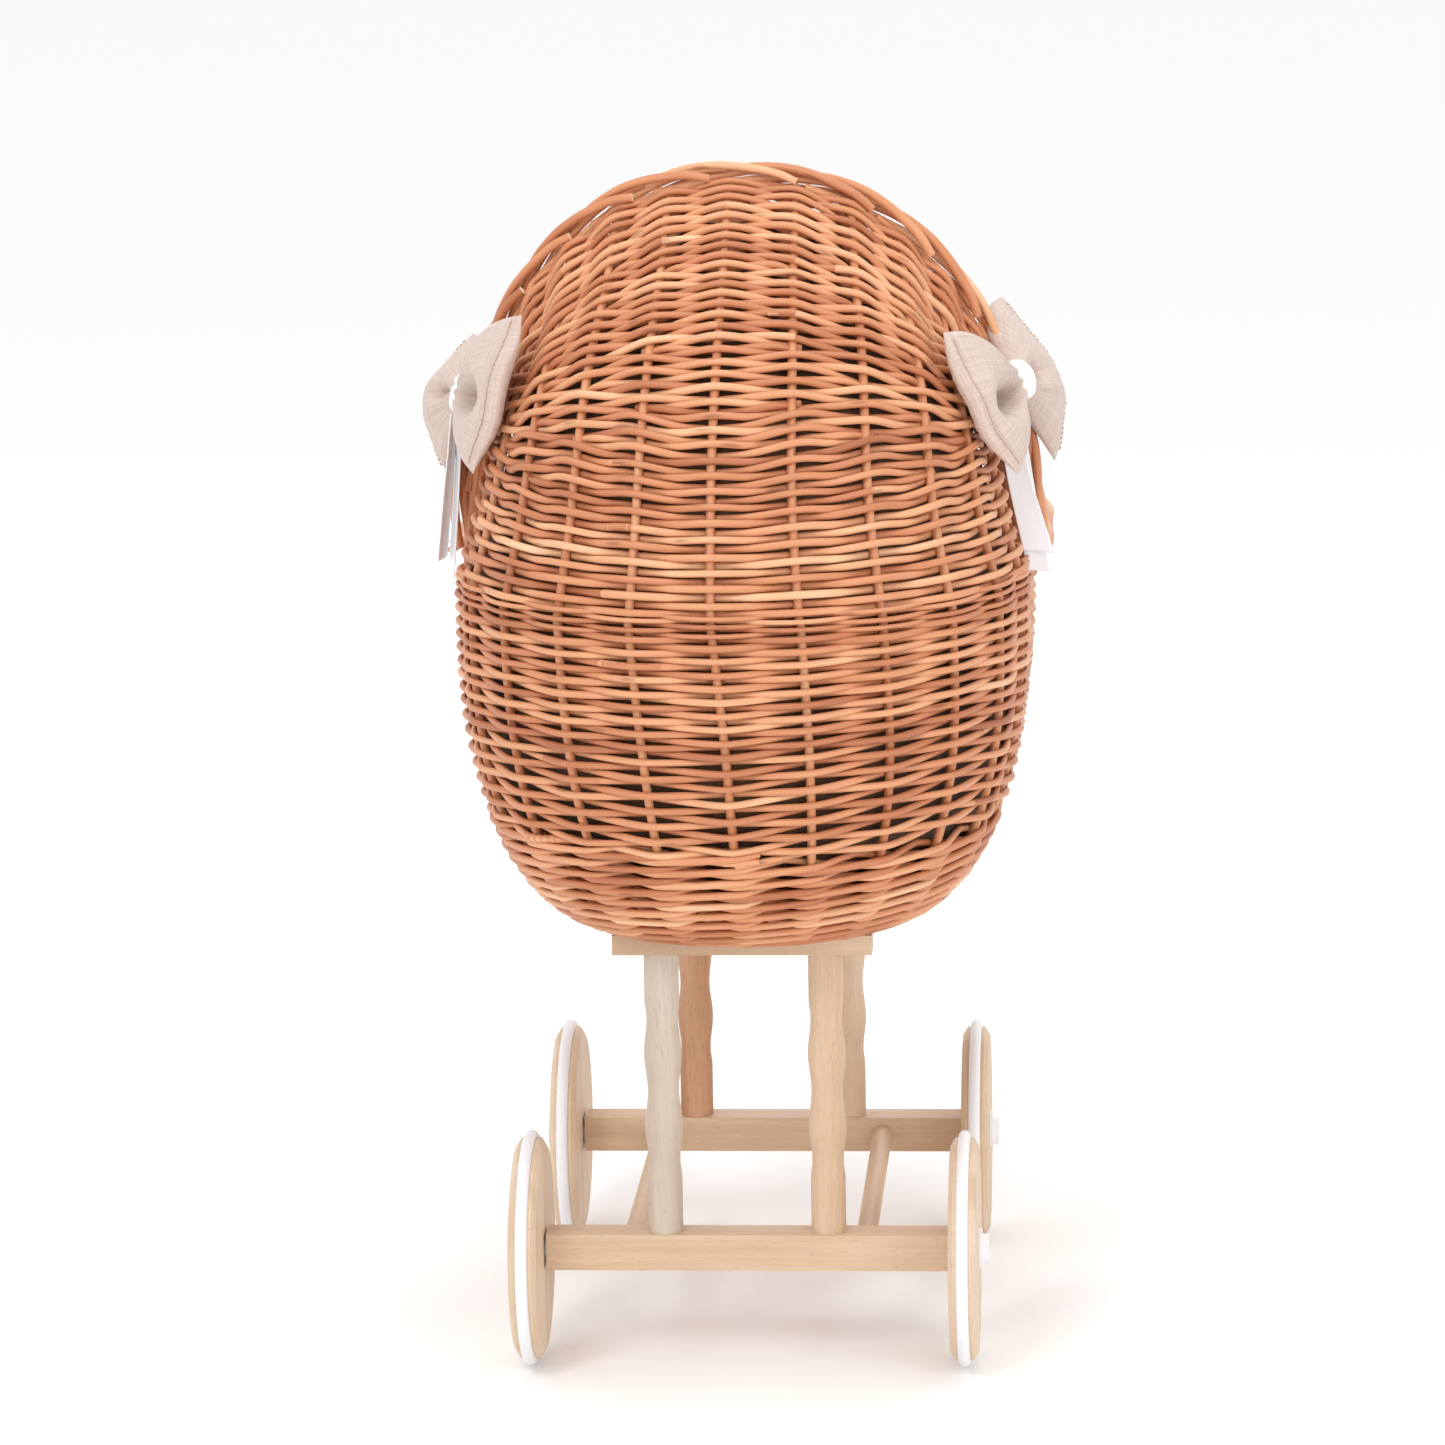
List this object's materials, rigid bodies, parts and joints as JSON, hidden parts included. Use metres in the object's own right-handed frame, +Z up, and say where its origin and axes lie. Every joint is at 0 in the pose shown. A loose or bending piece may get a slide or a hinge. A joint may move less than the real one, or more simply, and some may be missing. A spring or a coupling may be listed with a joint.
{
  "type": "bassinet on stand",
  "caption": "Wicker bassinet with a scoop hood and fabric bows, on a beech stand with turned legs and rubber-tyred wooden wheels.",
  "frame": {"origin": "on the floor under the middle of the whole piece's box", "axes": "+X across to the side that is on the right when the hood's back faces the viewer, +Y from the hood to the foot end, +Z up"},
  "size_m": [0.4, 0.608, 0.7535],
  "materials": {
    "beech": "planed and turned, clear lacquer",
    "willow_weave": "buff willow, boiled and peeled",
    "willow_rod": "buff willow, boiled and peeled",
    "tyre_cord": "smooth white rubber",
    "white_plastic": "moulded",
    "steel": "zinc plated",
    "lining_cloth": "woven linen blend",
    "pad_cotton": "plain cotton cover",
    "ribbon_cotton": "plain cotton",
    "bow_linen": "twill linen"
  },
  "bodies": {
    "chassis": {"axle_beam_head": "beech", "axle_beam_foot": "beech", "leg_head_left": "beech", "leg_head_right": "beech", "leg_foot_left": "beech", "leg_foot_right": "beech", "cross_rail_head": "beech", "cross_rail_foot": "beech", "stretcher_left": "beech", "stretcher_right": "beech", "axle_rod_head": "steel", "axle_rod_foot": "steel", "axle_washers": "steel", "hub_cap_head_left": "white_plastic", "hub_cap_head_right": "white_plastic", "hub_cap_foot_left": "white_plastic", "hub_cap_foot_right": "white_plastic", "basket_base": "willow_weave", "base_screws": "steel", "base_washers": "steel", "basket_wall": "willow_weave", "hood": "willow_weave", "hood_border": "willow_rod", "rim_border": "willow_rod", "basket_lining": "lining_cloth", "hood_lining": "lining_cloth", "mattress": "pad_cotton", "bow_left": "bow_linen", "bow_right": "bow_linen", "bow_knot_left": "ribbon_cotton", "bow_knot_right": "ribbon_cotton", "ribbons_left": "ribbon_cotton", "ribbons_right": "ribbon_cotton", "push_handle": "willow_rod", "handle_bindings": "willow_rod"},
    "wheel_head_left_body": {"wheel_head_left": "beech", "tyre_head_left": "tyre_cord"},
    "wheel_head_right_body": {"wheel_head_right": "beech", "tyre_head_right": "tyre_cord"},
    "wheel_foot_left_body": {"wheel_foot_left": "beech", "tyre_foot_left": "tyre_cord"},
    "wheel_foot_right_body": {"wheel_foot_right": "beech", "tyre_foot_right": "tyre_cord"}
  },
  "joints": [
    {"name": "wheel_head_left_spin", "type": "hinge", "parent": "chassis", "child": "wheel_head_left_body", "pos_m": [-0.13635, -0.1775, 0.074], "axis": [1, 0, 0], "continuous": true},
    {"name": "wheel_head_right_spin", "type": "hinge", "parent": "chassis", "child": "wheel_head_right_body", "pos_m": [0.13635, -0.1775, 0.074], "axis": [1, 0, 0], "continuous": true},
    {"name": "wheel_foot_left_spin", "type": "hinge", "parent": "chassis", "child": "wheel_foot_left_body", "pos_m": [-0.13635, 0.1015, 0.074], "axis": [1, 0, 0], "continuous": true},
    {"name": "wheel_foot_right_spin", "type": "hinge", "parent": "chassis", "child": "wheel_foot_right_body", "pos_m": [0.13635, 0.1015, 0.074], "axis": [1, 0, 0], "continuous": true}
  ]
}
